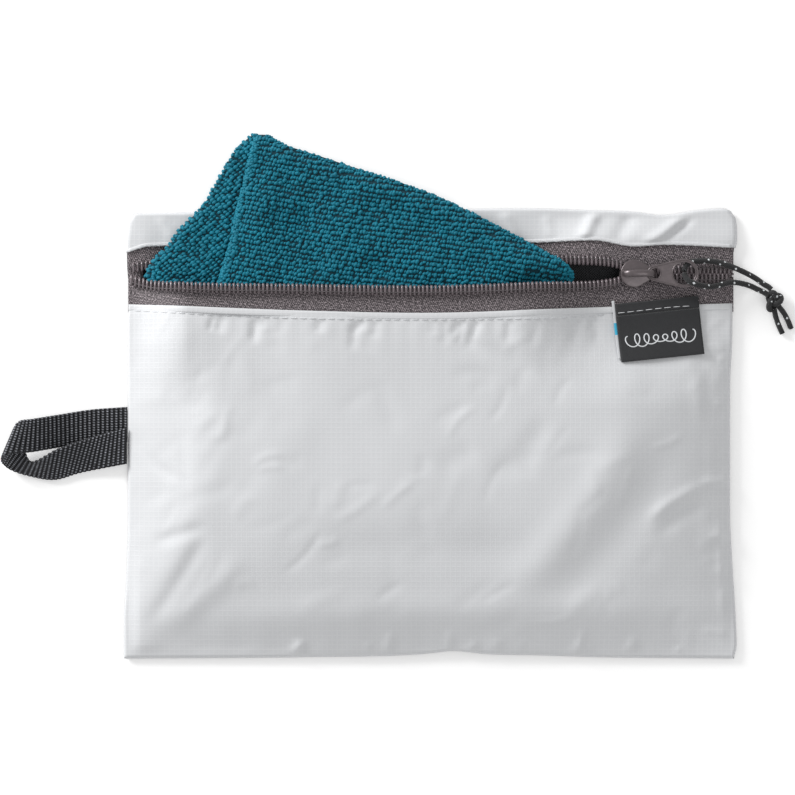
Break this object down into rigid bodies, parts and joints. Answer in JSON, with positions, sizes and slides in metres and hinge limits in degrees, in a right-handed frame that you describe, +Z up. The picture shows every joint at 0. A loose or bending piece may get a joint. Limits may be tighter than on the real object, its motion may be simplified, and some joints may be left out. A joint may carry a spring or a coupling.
{
  "type": "towel in zip pouch",
  "caption": "Folded terry towel half pulled out of a flat zip pouch with a corded pull tab, a sewn label and a webbing hang loop.",
  "frame": {"origin": "centre of the pouch's back panel, on the surface that it rests on", "axes": "+X to the right along the zip, +Y towards the pouch's top seam, +Z up out of its front"},
  "size_m": [0.326, 0.2151, 0.0198],
  "materials": {
    "white_fabric": "satin",
    "black_net": "matte",
    "grey_tape": "matte",
    "grey_coil": "satin",
    "white_thread": "matte",
    "slider_metal": "satin",
    "black_cord": "matte",
    "black_label": "matte",
    "black_webbing": "matte",
    "teal_terry": "matte"
  },
  "bodies": {
    "pouch": {"back_net_panel": "black_net", "front_panel": "white_fabric", "upper_strip": "white_fabric", "left_seam_binding": "grey_tape", "right_seam_binding": "grey_tape", "bottom_seam_binding": "grey_tape", "top_seam_binding": "grey_tape", "lower_zip_tape": "grey_tape", "upper_zip_tape": "grey_tape", "lower_coil": "grey_coil", "upper_coil": "grey_coil", "lower_topstitch": "white_thread", "upper_topstitch": "white_thread", "label_sewn_edge": "black_label"},
    "slider": {"slider_body": "slider_metal", "slider_bridge": "slider_metal"},
    "tab": {"pull_tab": "slider_metal"},
    "cord": {"pull_cord_upper": "black_cord", "pull_cord_lower": "black_cord", "cord_knot": "black_cord", "cord_tail_long": "black_cord", "cord_tail_short": "black_cord"},
    "label": {"label_flap": "black_label"},
    "loop": {"hang_loop": "black_webbing"},
    "towel": {"towel": "teal_terry"}
  },
  "joints": [
    {"name": "slider_slide", "type": "slide", "parent": "pouch", "child": "slider", "axis": [0.9979, 0, -0.0646], "range_m": [-0.003, 0.02], "deforming": ["lower_coil", "upper_coil"]},
    {"name": "tab_hinge", "type": "hinge", "parent": "slider", "child": "tab", "pos_m": [0.08952, 0.0656, 0.00987], "axis": [0, -1, 0], "range_deg": [0, 130]},
    {"name": "cord_swing", "type": "hinge", "parent": "tab", "child": "cord", "pos_m": [0.1093, 0.0656, 0.00987], "axis": [0, -1, 0], "range_deg": [0, 60], "deforming": ["pull_cord_upper", "pull_cord_lower"]},
    {"name": "label_flip", "type": "hinge", "parent": "pouch", "child": "label", "pos_m": [0.09348, 0.04977, 0.00696], "axis": [-0.9928, -0.1009, 0.0643], "range_deg": [0, 95]},
    {"name": "loop_hinge", "type": "hinge", "parent": "pouch", "child": "loop", "pos_m": [-0.12465, 0, 0.0049], "axis": [0, 1, 0], "range_deg": [0, 100]},
    {"name": "towel_pull", "type": "slide", "parent": "pouch", "child": "towel", "axis": [0, 1, 0], "range_m": [0, 0.13]}
  ]
}
